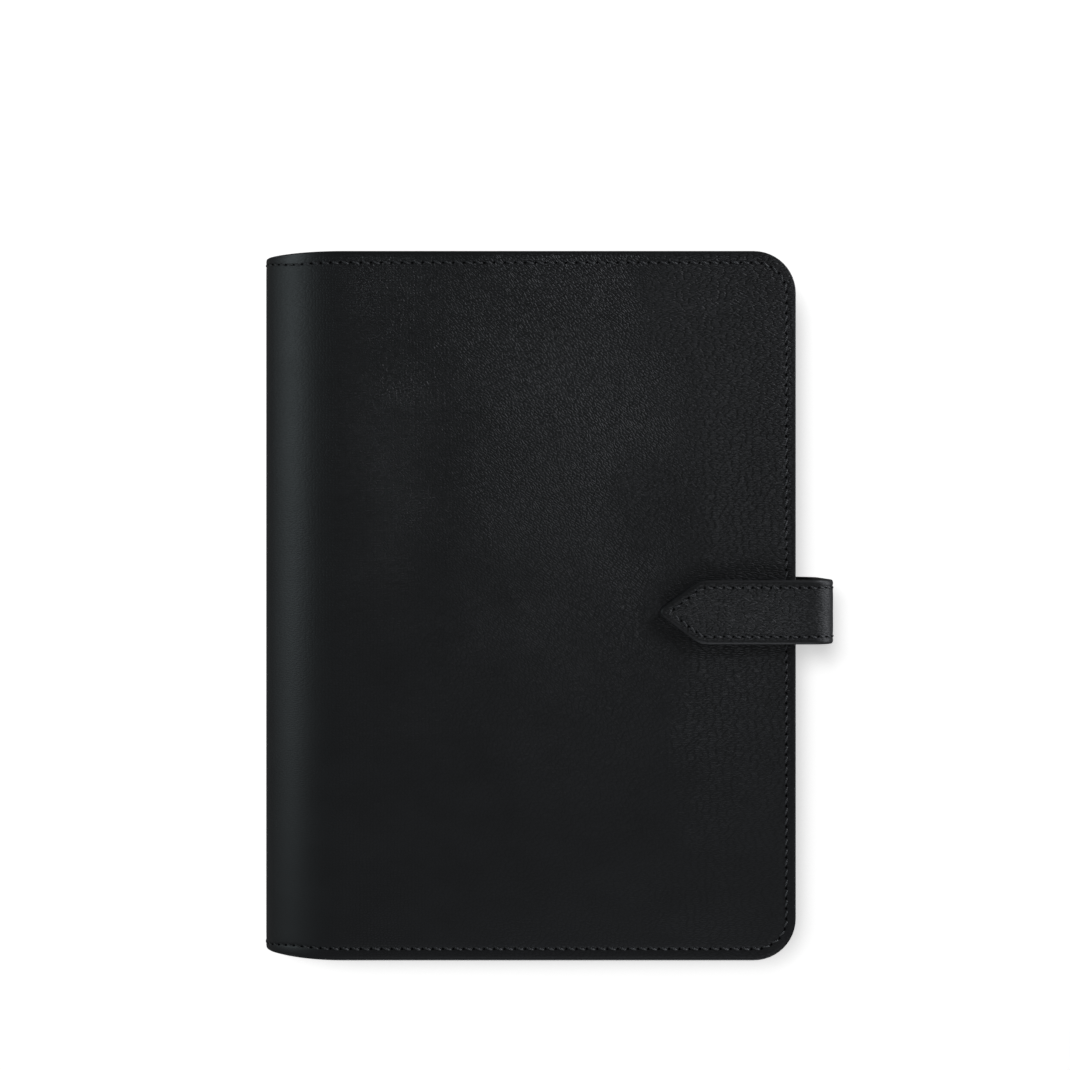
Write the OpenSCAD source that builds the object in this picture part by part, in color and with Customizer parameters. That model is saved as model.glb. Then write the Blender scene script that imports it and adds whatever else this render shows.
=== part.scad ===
/* [Cover] */
// Width of the closed cover, from the back of the spine to the fore-edge (mm)
cover_w = 178.5; // [172:0.5:195]
// Height of the cover along the spine (mm)
cover_h = 235; // [228:1:250]
// Thickness of the closed cover over both outer faces (mm)
cover_t = 40; // [39:0.5:44]
// Plan radius of the two fore-edge corners (mm)
corner_r = 14; // [8:1:20]
// Width of the leather hem folded round each board (mm)
hem_w = 5; // [3:0.5:8]

/* [Layers] */
// Thickness of the outer leather (mm)
leather_t = 1.3; // [1:0.1:1.6]
// Thickness of the stiffening board (mm)
board_t = 1.3; // [1:0.1:1.6]
// Thickness of the lining (mm)
lining_t = 1; // [0.8:0.1:1.2]

/* [Spine] */
// Depth of the rounded spine, from its back to where the covers go flat (mm)
spine_d = 29; // [27:0.5:32]
// Radius of the spine's back (mm)
spine_r = 14; // [13:0.5:15]

/* [Stitching] */
// Distance of the stitch line from the head and tail edges (mm)
stitch_in_y = 4; // [3:0.1:4.6]
// Distance of the stitch line from the fore-edge (mm)
stitch_in_x = 3.3; // [2.5:0.1:4.2]
// Width of the groove the thread lies in (mm)
groove_w = 1.2; // [1:0.1:1.5]

/* [Strap] */
// Width of the closing strap (mm)
strap_w = 21.3; // [18:0.1:26]
// How far the strap stands out past the fore-edge (mm)
strap_out = 12.8; // [12.2:0.1:16]
// How far the strap reaches back over the front cover (mm)
strap_reach = 45; // [42:0.5:60]
// Length of the strap's pointed end (mm)
strap_point = 12.8; // [9:0.1:16]
// Centre of the strap along the fore-edge (mm)
strap_y = -2; // [-12:0.5:4]
// Outer radius of the strap's lower bend (mm)
strap_low_r = 12; // [11:0.1:12.2]
// Outer radius of the strap's upper bend (mm)
strap_top_r = 7.5; // [6:0.1:9]

/* [Rings] */
// Outer radius of the page rings (mm)
ring_r = 11.5; // [10:0.1:11.8]
// Diameter of the ring wire (mm)
wire_d = 2.8; // [2.4:0.1:3]
// Distance between neighbouring rings in a set of three (mm)
ring_pitch = 19; // [19:1:19]
// Distance between the two sets of rings (mm)
ring_gap = 70; // [70:1:70]
// Length of the ring housing (mm)
housing_l = 200; // [200:1:206]
// Width of the ring housing (mm)
housing_w = 14.4; // [14.4:0.1:14.8]

/* [Pockets] */
// Inner radius of the pen loop (mm)
pen_r = 5.5; // [4:0.1:6]
// Length of the pen loop (mm)
pen_loop_l = 40; // [25:1:60]
// Width of the card pockets (mm)
card_w = 94; // [90:1:98]
// Distance each card pocket is stepped below the next (mm)
card_step = 14; // [10:1:16]

/* [Hidden] */

$fn = 96;
eps = 0.5;
span = 400;

x_left = -(cover_w + strap_out) / 2;
x_edge = x_left + cover_w;
half_h = cover_h / 2;
half_t = cover_t / 2;
skin_t = leather_t + board_t + lining_t;
lining_in = 0.8;

// The spine's back is one arc that runs into a larger arc at each shoulder.
spine_big_r = (pow(spine_d - spine_r, 2) + half_t * half_t - spine_r * spine_r)
  / (2 * (half_t - spine_r));
shoulder_a = atan2(spine_big_r - half_t, spine_d - spine_r);
spine_arc = PI / 180 * (shoulder_a * spine_r + (90 - shoulder_a) * spine_big_r);
// Each fold turns about the point that keeps the leather's length when it lies flat.
fold_in = (spine_d + half_t - spine_arc) / 2;
// The covers are cut round each fold, this much inside the end of the spine's arc.
fold_trim = 0.45;
fold_r = sqrt(pow(spine_d - fold_in, 2) + fold_in * fold_in) - fold_trim;
// The spine stops short of the covers by this angle at each shoulder.
shoulder_end_a = 1.6;
cover_start = spine_d - 9;

groove_d = 0.45;
thread_w = 0.8;
thread_in = 0.1;

strap_leather_t = 1.3;
strap_lining_t = 1.1;
strap_t = strap_leather_t + strap_lining_t;
strap_base_z = (leather_t + board_t / 2) - strap_t / 2;
strap_lift = 0.9;
strap_top_z = cover_t + strap_lift + strap_t;
strap_x = x_edge + strap_out;
strap_start = 0.3;
strap_tail = 25;
low_mid_r = strap_low_r - strap_t / 2;
top_mid_r = strap_top_r - strap_t / 2;
flat_k = 1 - PI / 4;
low_c = [strap_x - strap_low_r, strap_base_z + strap_low_r];
top_c = [strap_x - strap_top_r, strap_top_z - strap_top_r];
low_pivot = [strap_x - strap_t / 2 - flat_k * low_mid_r,
  strap_base_z + strap_t / 2 + flat_k * low_mid_r];
top_pivot = [strap_x - strap_t / 2 - flat_k * top_mid_r,
  strap_top_z - strap_t / 2 - flat_k * top_mid_r];
low_knuckle = 3.2;
top_knuckle = 2.6;
knuckle_gap = 0.3;
strap_stitch_in = 2.6;
strap_groove_d = 0.35;
strap_thread_w = 0.7;

snap_x = x_edge - 33;
snap_post_r = 2;
snap_fit = 0.08;
snap_r = 5.2;
snap_shank_r = 1.5;
snap_backing_t = 0.6;
snap_flange_t = 0.5;
snap_cap_t = 0.5;

wire_r = wire_d / 2;
ring_mid_r = ring_r - wire_r;
carrier_t = 0.9;
carrier_x = x_left + 8;
carrier_l = 190;
carrier_pivot = 5.7;
carrier_bead_r = 0.6;
ring_cx = carrier_x + ring_mid_r;
ring_tip_gap = 0.3;
// Each half ring runs on past the carrier's face by stopping short of a half turn.
ring_sweep = 175;
carrier_inner_gap = 0.2;
carrier_notch_w = 6.4;
carrier_notch_d = 3.2;
ring_ys = [for (side = [-1, 1]) for (i = [0 : 2]) side * (ring_gap / 2 + i * ring_pitch)];
housing_t = 0.8;
housing_low = x_left + 6.9;
housing_top = x_left + 11;
housing_r = 2.2;
slot_gap = 0.4;
slot_l = 8.4;
slot_mid = slot_l / 2 + 0.6;
lip_t = 0.35;
lip_w = 1;
rivet_y = 88;
rivet_r = 1.6;
rivet_collar_r = 2.4;
rivet_head_r = 3;
rivet_gap = 0.05;
rivet_head_t = 0.9;
rivet_head_gap = 0.2;
rivet_end_in = 0.4;
rivet_lift = 0.35;
trigger_y = 97.6;
trigger_x = x_left + 8.3;
trigger_pin_r = 0.7;
trigger_pin_fit = 0.08;
trigger_w = 8;
trigger_t = 1;
trigger_arm = 2.4;
trigger_tab = 12;
trigger_angle = 30;
trigger_heel_w = 1.6;
trigger_heel_t = 0.7;
// The lever is cut away past this distance, to clear the housing's roof.
trigger_clear_x = 0.9;
trigger_clear_y = 2.4;

pocket_gap = 0.8;
pocket_t = 0.9;
pocket_rim = 4;
pocket_x = x_left + 50;
pocket_edge = 6;
back_pocket_edge = 20;
back_pocket_top = 20;
card_x = x_left + 62;
card_y = -102;
card_h = 58;
pen_x = x_edge - 9;
pen_y = 30;
pen_wall = 1.3;
pen_z = skin_t + pen_wall + pen_r;

// --- shared shapes -----------------------------------------------------------

// Turns a flat X-Z drawing into a solid that runs along Y.
module along_y(length, centre = 0) {
  translate([0, centre + length / 2, 0])
    rotate([90, 0, 0])
      linear_extrude(length)
        children();
}

// Plan of one cover; the spine side is left long and is cut round the fold.
module cover_plan(in_x = 0, in_y = 0) {
  r = corner_r - (in_x + in_y) / 2;
  x1 = x_edge - in_x;
  h = half_h - in_y;
  x0 = x_left + cover_start;
  translate([x0, -h])
    square([x1 - r - x0, 2 * h]);
  translate([x0, r - h])
    square([x1 - x0, 2 * (h - r)]);
  for (side = [-1, 1])
    translate([x1 - r, side * (h - r)])
      circle(r);
}

// One side of the spine between two depths below its outer face.
module sector_band(r_out, r_in, a0, a1) {
  reach = 3 * r_out;
  mid = (a0 + a1) / 2;
  intersection() {
    difference() {
      circle(r_out);
      circle(r_in);
    }
    polygon([[0, 0], reach * [cos(a0), sin(a0)], reach * [cos(mid), sin(mid)],
      reach * [cos(a1), sin(a1)]]);
  }
}

// The spine's cross-section between two depths below its outer face.
// It stops at each shoulder short of the covers by the angle given.
module spine_band(d0, d1, end_a = shoulder_end_a) {
  translate([x_left + spine_r, half_t])
    sector_band(spine_r - d0, spine_r - d1, 180 - shoulder_a, 180 + shoulder_a);
  for (side = [-1, 1])
    translate([x_left + spine_d, half_t + side * (half_t - spine_big_r)])
      mirror([0, side < 0 ? 0 : 1])
        sector_band(spine_big_r - d0, spine_big_r - d1, 180 + shoulder_a, 270 - end_a);
}

module spine_layer(d0, d1, length) {
  along_y(length)
    spine_band(d0, d1);
}

// Everything on the back cover starts outside the round end of its fold.
module cut_for_fold() {
  difference() {
    children();
    translate([x_left + fold_in, 0, fold_in])
      rotate([90, 0, 0])
        cylinder(r = fold_r, h = span, center = true);
  }
}

module to_front() {
  translate([0, 0, cover_t])
    mirror([0, 0, 1])
      children();
}

module cover_leather() {
  cut_for_fold()
    difference() {
      linear_extrude(leather_t + board_t)
        cover_plan();
      translate([0, 0, leather_t])
        linear_extrude(board_t + eps)
          cover_plan(hem_w, hem_w);
      translate([0, 0, -eps])
        linear_extrude(groove_d + eps)
          stitch_ring(groove_w);
    }
}

module cover_board() {
  cut_for_fold()
    translate([0, 0, leather_t])
      linear_extrude(board_t)
        cover_plan(hem_w, hem_w);
}

module cover_lining() {
  cut_for_fold()
    translate([0, 0, leather_t + board_t])
      linear_extrude(lining_t)
        cover_plan(lining_in, lining_in);
}

// Line of stitches round the three outer edges of a cover.
module stitch_ring(w) {
  difference() {
    cover_plan(stitch_in_x - w / 2, stitch_in_y - w / 2);
    cover_plan(stitch_in_x + w / 2, stitch_in_y + w / 2);
  }
}

module cover_stitching() {
  cut_for_fold()
    translate([0, 0, thread_in])
      linear_extrude(groove_d - thread_in)
        stitch_ring(thread_w);
}

// A flat pocket: a sheet held off its backing by a rim on three sides.
// The open side is left at the head, or at the spine when side_open is true.
module flat_pocket(x0, x1, y0, y1, side_open) {
  w = x1 - x0;
  h = y1 - y0;
  translate([x0, y0, pocket_gap])
    cube([w, h, pocket_t]);
  translate([x0, y0, 0])
    cube([w, pocket_rim, pocket_gap]);
  translate([x1 - pocket_rim, y0, 0])
    cube([pocket_rim, h, pocket_gap]);
  if (side_open)
    translate([x0, y1 - pocket_rim, 0])
      cube([w, pocket_rim, pocket_gap]);
  else
    translate([x0, y0, 0])
      cube([pocket_rim, h, pocket_gap]);
}

// --- back cover --------------------------------------------------------------

module back_outer_leather() {
  color([0.07, 0.07, 0.075])
    difference() {
      cover_leather();
      translate([x_edge - hem_w - eps, strap_y - strap_w / 2, leather_t])
        cube([hem_w + 2 * eps, strap_w, board_t + eps]);
    }
}

module back_board() {
  color([0.45, 0.4, 0.33])
    difference() {
      cover_board();
      translate([x_edge - strap_tail, strap_y - strap_w / 2, leather_t - eps])
        cube([strap_tail, strap_w, board_t + 2 * eps]);
    }
}

module back_lining() {
  color([0.09, 0.09, 0.095])
    cover_lining();
}

module back_slip_pocket() {
  color([0.08, 0.08, 0.085])
    translate([0, 0, skin_t])
      flat_pocket(pocket_x, x_edge - back_pocket_edge, -half_h + pocket_edge,
        back_pocket_top, false);
}

module pen_loop() {
  color([0.07, 0.07, 0.075])
    along_y(pen_loop_l, pen_y)
      difference() {
        union() {
          translate([pen_x, pen_z])
            circle(pen_r + pen_wall);
          translate([pen_x - pen_r - pen_wall, skin_t])
            square([2 * (pen_r + pen_wall), pen_wall]);
        }
        translate([pen_x, pen_z])
          circle(pen_r);
      }
}

module back_stitching() {
  color([0.05, 0.05, 0.05])
    cover_stitching();
}

// --- strap -------------------------------------------------------------------

// The strap's cross-section between two depths below its outer face.
module strap_band(d0, d1) {
  t = d1 - d0;
  translate([x_edge + strap_start, strap_base_z + d0])
    square([low_c[0] - x_edge - strap_start, t]);
  translate(low_c)
    sector_band(strap_low_r - d0, strap_low_r - d1, 270, 360);
  translate([strap_x - d1, low_c[1]])
    square([t, top_c[1] - low_c[1]]);
  translate(top_c)
    sector_band(strap_top_r - d0, strap_top_r - d1, 0, 90);
  translate([x_edge - strap_reach - eps, strap_top_z - d1])
    square([top_c[0] - x_edge + strap_reach + eps, t]);
}

module low_side() {
  drop = low_c[1] + 5;
  polygon([[low_c[0] - 60, -5], [low_c[0] - 60, low_c[1]], low_c, [low_c[0] + drop, -5]]);
}

module mid_side() {
  drop = low_c[1] + 5;
  polygon([low_c, [low_c[0] + drop, -5], [top_c[0] + 25, -5], top_c + [25, 25], top_c]);
}

module tip_side() {
  polygon([top_c, top_c + [25, 25], top_c + [-90, 25], top_c + [-90, 0]]);
}

module knuckle(pivot, r) {
  translate(pivot)
    circle(r);
}

module riser_section(d0, d1) {
  difference() {
    intersection() {
      strap_band(d0, d1);
      union() {
        mid_side();
        knuckle(top_pivot, top_knuckle);
      }
    }
    knuckle(low_pivot, low_knuckle + knuckle_gap);
  }
}

module tongue_section(d0, d1) {
  difference() {
    intersection() {
      strap_band(d0, d1);
      tip_side();
    }
    knuckle(top_pivot, top_knuckle + knuckle_gap);
  }
}

// Plan of the strap with its pointed end, drawn in by the given amount.
module strap_plan(inset) {
  half_w = strap_w / 2;
  slope = strap_point / half_w;
  tip_x = x_edge - strap_reach + inset * sqrt(1 + slope * slope);
  hw = half_w - inset;
  polygon([[tip_x, strap_y], [tip_x + hw * slope, strap_y + hw], [strap_x + 20, strap_y + hw],
    [strap_x + 20, strap_y - hw], [tip_x + hw * slope, strap_y - hw]]);
}

module strap_stitch_lines(w) {
  linear_extrude(span)
    difference() {
      strap_plan(strap_stitch_in - w / 2);
      strap_plan(strap_stitch_in + w / 2);
    }
}

module riser_stitch_lines(w) {
  for (side = [-1, 1])
    along_y(w, strap_y + side * (strap_w / 2 - strap_stitch_in))
      riser_section(-eps, strap_groove_d);
}

module strap_anchor() {
  color([0.07, 0.07, 0.075]) {
    along_y(strap_w, strap_y)
      intersection() {
        strap_band(0, strap_t);
        union() {
          low_side();
          knuckle(low_pivot, low_knuckle);
        }
      }
    translate([x_edge - strap_tail, strap_y - strap_w / 2, leather_t])
      cube([strap_tail + strap_start, strap_w, board_t]);
  }
}

module strap_riser_leather() {
  color([0.07, 0.07, 0.075])
    difference() {
      along_y(strap_w, strap_y)
        riser_section(0, strap_leather_t);
      riser_stitch_lines(strap_thread_w + 0.2);
    }
}

module strap_riser_lining() {
  color([0.09, 0.09, 0.095])
    along_y(strap_w, strap_y)
      riser_section(strap_leather_t, strap_t);
}

module strap_riser_stitching() {
  color([0.05, 0.05, 0.05])
    for (side = [-1, 1])
      along_y(strap_thread_w, strap_y + side * (strap_w / 2 - strap_stitch_in))
        riser_section(thread_in, strap_groove_d);
}

module tongue_layer(d0, d1, inset) {
  intersection() {
    along_y(strap_w, strap_y)
      tongue_section(d0, d1);
    linear_extrude(span)
      strap_plan(inset);
  }
}

module strap_tongue_leather() {
  color([0.07, 0.07, 0.075])
    difference() {
      tongue_layer(0, strap_leather_t, 0);
      intersection() {
        along_y(strap_w, strap_y)
          tongue_section(-eps, strap_groove_d);
        strap_stitch_lines(strap_thread_w + 0.2);
      }
      translate([snap_x, strap_y, strap_top_z - strap_leather_t - eps])
        cylinder(r = snap_r, h = eps + snap_cap_t);
    }
}

module strap_tongue_lining() {
  color([0.09, 0.09, 0.095])
    difference() {
      tongue_layer(strap_leather_t, strap_t, 0);
      translate([snap_x, strap_y, cover_t])
        cylinder(r = snap_r, h = strap_t + strap_lift - strap_leather_t + eps / 2);
    }
}

module strap_tongue_stitching() {
  color([0.05, 0.05, 0.05])
    intersection() {
      along_y(strap_w, strap_y)
        tongue_section(thread_in, strap_groove_d);
      strap_stitch_lines(strap_thread_w);
    }
}

module snap_socket() {
  z0 = cover_t + strap_lift - 0.1;
  color([0.75, 0.75, 0.73])
    translate([snap_x, strap_y, z0])
      difference() {
        cylinder(r = snap_r, h = strap_lining_t + 0.1);
        translate([0, 0, -eps])
          cylinder(r = snap_post_r + snap_fit, h = span);
      }
}

module snap_cap() {
  color([0.75, 0.75, 0.73])
    translate([snap_x, strap_y, strap_top_z - strap_leather_t])
      cylinder(r = snap_r, h = snap_cap_t);
}

// --- spine -------------------------------------------------------------------

module spine_outer_leather() {
  color([0.07, 0.07, 0.075])
    difference() {
      spine_layer(0, leather_t + board_t, cover_h);
      along_y(2 * (half_h - hem_w))
        spine_band(leather_t, skin_t, 0);
      for (side = [-1, 1])
        translate([0, side * (half_h - stitch_in_y), 0])
          along_y(groove_w)
            spine_band(-eps, groove_d, 0);
    }
}

module spine_board() {
  color([0.45, 0.4, 0.33])
    difference() {
      spine_layer(leather_t, leather_t + board_t, cover_h - 2 * hem_w);
      rivet_holes(rivet_head_r + rivet_head_gap, x_left + leather_t - eps, board_t + 2 * eps);
    }
}

module spine_lining() {
  color([0.09, 0.09, 0.095])
    difference() {
      spine_layer(leather_t + board_t, skin_t, cover_h - 2 * lining_in);
      rivet_holes(rivet_r + rivet_gap, x_left + leather_t, skin_t);
    }
}

module spine_stitching() {
  color([0.05, 0.05, 0.05])
    for (side = [-1, 1])
      translate([0, side * (half_h - stitch_in_y), 0])
        spine_layer(thread_in, groove_d, thread_w);
}

// --- ring mechanism ----------------------------------------------------------

module rivet_holes(r, x0, depth) {
  for (side = [-1, 1])
    translate([x0, side * rivet_y, half_t])
      rotate([0, 90, 0])
        cylinder(r = r, h = depth);
}

// A channel with rounded shoulders, drawn with its open side to the left.
module channel_section(inset) {
  hw = housing_w / 2 - inset;
  r = housing_r - inset;
  top = housing_top - inset;
  translate([housing_low - 2, half_t - hw])
    square([top - r - housing_low + 2, 2 * hw]);
  translate([housing_low - 2, half_t - hw + r])
    square([top - housing_low + 2, 2 * (hw - r)]);
  for (side = [-1, 1])
    translate([top - r, half_t + side * (hw - r)])
      circle(r);
}

module ring_housing() {
  color([0.8, 0.8, 0.8])
    difference() {
      along_y(housing_l) {
        difference() {
          channel_section(0);
          channel_section(housing_t);
          translate([housing_low - 10, 0])
            square([10, cover_t]);
        }
        for (side = [-1, 1])
          translate([housing_low, half_t - lip_w / 2 + side * (housing_w - lip_w - housing_t) / 2])
            square([lip_t, lip_w]);
      }
      for (y = ring_ys)
        for (side = [-1, 1])
          translate([carrier_x, y - wire_r - slot_gap, half_t - slot_l / 2 + side * slot_mid])
            cube([housing_top - carrier_x + eps, wire_d + 2 * slot_gap, slot_l]);
      rivet_holes(rivet_r + rivet_gap, carrier_x, housing_top - carrier_x + eps);
      for (side = [-1, 1])
        translate([trigger_x, side * trigger_y, 0])
          cylinder(r = trigger_pin_r + trigger_pin_fit, h = cover_t);
    }
}

module mechanism_rivets() {
  tail_x = x_left + leather_t + rivet_end_in;
  tail_t = board_t - rivet_end_in - rivet_gap;
  collar_x = x_left + skin_t + rivet_lift;
  collar_l = housing_top - housing_t - collar_x;
  color([0.8, 0.8, 0.8]) {
    rivet_holes(rivet_head_r, tail_x, tail_t);
    rivet_holes(rivet_r, tail_x, housing_top - tail_x + rivet_end_in);
    rivet_holes(rivet_collar_r, collar_x, collar_l);
    rivet_holes(rivet_head_r, housing_top, rivet_head_t);
  }
}

// Upper carrier: a long plate whose rolled outer edge turns in the housing.
module carrier() {
  bead_z = half_t + carrier_pivot;
  difference() {
    union() {
      translate([carrier_x - carrier_t / 2, -carrier_l / 2, half_t + carrier_inner_gap])
        cube([carrier_t, carrier_l, carrier_pivot - carrier_inner_gap]);
      translate([carrier_x, 0, bead_z])
        rotate([90, 0, 0])
          cylinder(r = carrier_bead_r, h = carrier_l, center = true);
    }
    for (side = [-1, 1])
      translate([carrier_x - carrier_t, side * rivet_y - carrier_notch_w / 2, half_t])
        cube([2 * carrier_t, carrier_notch_w, carrier_notch_d]);
  }
}

module half_rings() {
  gap_a = asin(ring_tip_gap / 2 / ring_mid_r);
  intersection() {
    for (y = ring_ys)
      translate([ring_cx, y, half_t])
        rotate([90, 0, 0])
          rotate([0, 0, gap_a])
            rotate_extrude(angle = ring_sweep - gap_a)
              translate([ring_mid_r, 0])
                circle(wire_r, $fn = 48);
    translate([carrier_x + carrier_t / 2, -span / 2, half_t - span / 2])
      cube([span, span, span]);
  }
}

module mirror_low() {
  translate([0, 0, 2 * half_t])
    mirror([0, 0, 1])
      children();
}

module upper_carrier() {
  color([0.72, 0.72, 0.72])
    carrier();
}

module upper_rings() {
  color([0.85, 0.85, 0.85])
    half_rings();
}

module lower_carrier() {
  color([0.72, 0.72, 0.72])
    mirror_low()
      carrier();
}

module lower_rings() {
  color([0.85, 0.85, 0.85])
    mirror_low()
      half_rings();
}

// A thumb lever on a cross pin at one end of the housing.
module trigger() {
  pin_l = housing_w + 0.2;
  translate([trigger_x, trigger_y, half_t]) {
    cylinder(r = trigger_pin_r, h = pin_l, center = true);
    difference() {
      union() {
        rotate([0, 0, -trigger_angle])
          translate([-trigger_t / 2, 0, -trigger_w / 2])
            cube([trigger_t, trigger_tab, trigger_w]);
        cylinder(r = trigger_t, h = trigger_w, center = true);
      }
      translate([trigger_clear_x, trigger_clear_y - trigger_w, -trigger_w])
        cube([trigger_w, trigger_w, 2 * trigger_w]);
    }
    translate([-trigger_t, -trigger_arm, -trigger_heel_w / 2])
      cube([trigger_heel_t, trigger_arm, trigger_heel_w]);
  }
}

module head_trigger() {
  color([0.8, 0.8, 0.8])
    trigger();
}

module tail_trigger() {
  color([0.8, 0.8, 0.8])
    mirror([0, 1, 0])
      trigger();
}

// --- front cover -------------------------------------------------------------

module front_outer_leather() {
  color([0.07, 0.07, 0.075])
    difference() {
      to_front()
        cover_leather();
      translate([snap_x, strap_y, 0])
        cylinder(r = snap_shank_r + 0.05, h = cover_t + eps);
    }
}

module front_board() {
  z0 = cover_t - leather_t - board_t;
  color([0.45, 0.4, 0.33])
    difference() {
      to_front()
        cover_board();
      translate([snap_x, strap_y, 0])
        cylinder(r = snap_shank_r + 0.05, h = cover_t);
      translate([snap_x, strap_y, z0 - eps])
        cylinder(r = snap_r + 0.05, h = eps + snap_backing_t);
    }
}

module front_lining() {
  color([0.09, 0.09, 0.095])
    to_front()
      cover_lining();
}

module front_slip_pocket() {
  color([0.08, 0.08, 0.085])
    to_front()
      translate([0, 0, skin_t])
        flat_pocket(pocket_x, x_edge - pocket_edge, -half_h + pocket_edge,
          half_h - pocket_edge, true);
}

// Card pockets are stacked inwards from the slip pocket and stepped in height.
module card_pocket(index) {
  to_front()
    translate([0, 0, skin_t + (index + 1) * (pocket_gap + pocket_t)])
      flat_pocket(card_x, card_x + card_w, card_y,
        card_y + card_h + (2 - index) * card_step, false);
}

module card_pocket_back() {
  color([0.08, 0.08, 0.085])
    card_pocket(0);
}

module card_pocket_middle() {
  color([0.085, 0.085, 0.09])
    card_pocket(1);
}

module card_pocket_front() {
  color([0.09, 0.09, 0.095])
    card_pocket(2);
}

module snap_stud() {
  shank_z = cover_t - leather_t - board_t + snap_backing_t;
  post_top = strap_top_z - strap_leather_t - 0.2;
  color([0.75, 0.75, 0.73])
    translate([snap_x, strap_y, 0]) {
      translate([0, 0, shank_z])
        cylinder(r = snap_shank_r, h = cover_t - shank_z);
      translate([0, 0, cover_t])
        cylinder(r = snap_r, h = snap_flange_t);
      translate([0, 0, cover_t])
        cylinder(r = snap_post_r, h = post_top - cover_t);
    }
}

module snap_stud_backing() {
  color([0.75, 0.75, 0.73])
    translate([snap_x, strap_y, cover_t - leather_t - board_t])
      cylinder(r = snap_r, h = snap_backing_t);
}

module front_stitching() {
  color([0.05, 0.05, 0.05])
    to_front()
      cover_stitching();
}

back_outer_leather();
back_board();
back_lining();
back_slip_pocket();
pen_loop();
strap_anchor();
back_stitching();
spine_outer_leather();
spine_board();
spine_lining();
spine_stitching();
ring_housing();
mechanism_rivets();
upper_carrier();
upper_rings();
lower_carrier();
lower_rings();
head_trigger();
tail_trigger();
front_outer_leather();
front_board();
front_lining();
front_slip_pocket();
card_pocket_back();
card_pocket_middle();
card_pocket_front();
snap_stud();
snap_stud_backing();
front_stitching();
strap_riser_leather();
strap_riser_lining();
strap_riser_stitching();
strap_tongue_leather();
strap_tongue_lining();
strap_tongue_stitching();
snap_socket();
snap_cap();
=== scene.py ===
"""Looks for a closed ring-notebook cover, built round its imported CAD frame."""

import math
import random

import bmesh
import bpy
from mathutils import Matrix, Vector


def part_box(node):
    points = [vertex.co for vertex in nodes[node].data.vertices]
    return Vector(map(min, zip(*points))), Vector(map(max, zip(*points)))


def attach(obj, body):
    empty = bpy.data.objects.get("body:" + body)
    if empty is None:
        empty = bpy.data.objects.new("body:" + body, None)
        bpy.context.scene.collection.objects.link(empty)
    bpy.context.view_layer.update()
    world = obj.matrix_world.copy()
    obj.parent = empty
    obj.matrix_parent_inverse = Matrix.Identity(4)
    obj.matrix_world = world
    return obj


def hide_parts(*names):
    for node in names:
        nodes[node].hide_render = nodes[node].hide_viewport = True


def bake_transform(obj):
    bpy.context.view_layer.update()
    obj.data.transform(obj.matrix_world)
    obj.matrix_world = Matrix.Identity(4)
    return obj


MM = 0.001

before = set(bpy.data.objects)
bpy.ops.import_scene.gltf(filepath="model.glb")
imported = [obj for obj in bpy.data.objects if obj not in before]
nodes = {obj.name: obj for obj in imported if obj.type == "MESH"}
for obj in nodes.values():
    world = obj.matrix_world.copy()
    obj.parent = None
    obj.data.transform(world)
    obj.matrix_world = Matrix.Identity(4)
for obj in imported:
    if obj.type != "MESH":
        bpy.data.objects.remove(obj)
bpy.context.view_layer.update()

# --- sizes taken from the CAD ------------------------------------------------

spine_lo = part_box("spine_outer_leather")[0]
cover_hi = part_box("front_outer_leather")[1]
tongue_lo, tongue_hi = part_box("strap_tongue_leather")

X_LEFT = spine_lo.x
X_EDGE = cover_hi.x
THICK = cover_hi.z
MID_Z = THICK / 2
HALF_H = cover_hi.y
STRAP_Y = (tongue_lo.y + tongue_hi.y) / 2
STRAP_HALF_W = (tongue_hi.y - tongue_lo.y) / 2
STRAP_TOP = tongue_hi.z
STRAP_TIP = tongue_lo.x
STRAP_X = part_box("strap_riser_leather")[1].x
STRAP_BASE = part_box("strap_anchor")[0].z

# The spine's section is a tight arc at the back that runs into a wide arc up to the flat cover.
SPINE_D = 29 * MM
SPINE_R = 14 * MM
CORNER_R = 14 * MM
BIG_R = ((SPINE_D - SPINE_R) ** 2 + MID_Z**2 - SPINE_R**2) / (2 * (MID_Z - SPINE_R))
SHOULDER = math.atan2(BIG_R - MID_Z, SPINE_D - SPINE_R)
ARC_1 = SHOULDER * SPINE_R
ARC_2 = (math.pi / 2 - SHOULDER) * BIG_R
ARC = ARC_1 + ARC_2
S_EDGE = ARC + X_EDGE - X_LEFT - SPINE_D

# Stitch lines: inset from head and tail, from the fore-edge and from the strap's edge.
STITCH_Y = 4.0 * MM
STITCH_X = 3.3 * MM
STITCH_PITCH = 3.4 * MM
STITCH_LEAN = math.radians(20)
STRAP_STITCH_IN = 2.6 * MM
STRAP_PITCH = 3.1 * MM
POCKET_PITCH = 3.0 * MM

# Stitches as (length, thread radius, rise over the leather).
COVER_STITCH = (2.5 * MM, 0.32 * MM, 0.1 * MM)
INNER_STITCH = (2.7 * MM, 0.32 * MM, 0.1 * MM)
STRAP_STITCH = (2.3 * MM, 0.3 * MM, 0.12 * MM)
POCKET_STITCH = (2.4 * MM, 0.26 * MM, 0.12 * MM)
LOOP_STITCH = (2.4 * MM, 0.28 * MM, 0.14 * MM)

# Depths under the outer face: the skin's back, the lining's front and the lining's inner face.
SKIN_T = 2.58 * MM
LINER_TOP = 2.62 * MM
LINER_LOW = 3.6 * MM
# Spacing of the grid on the flat cover and round the spine.
FLAT_GRID = 2.6 * MM
ROUND_GRID = 1.2 * MM


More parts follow.
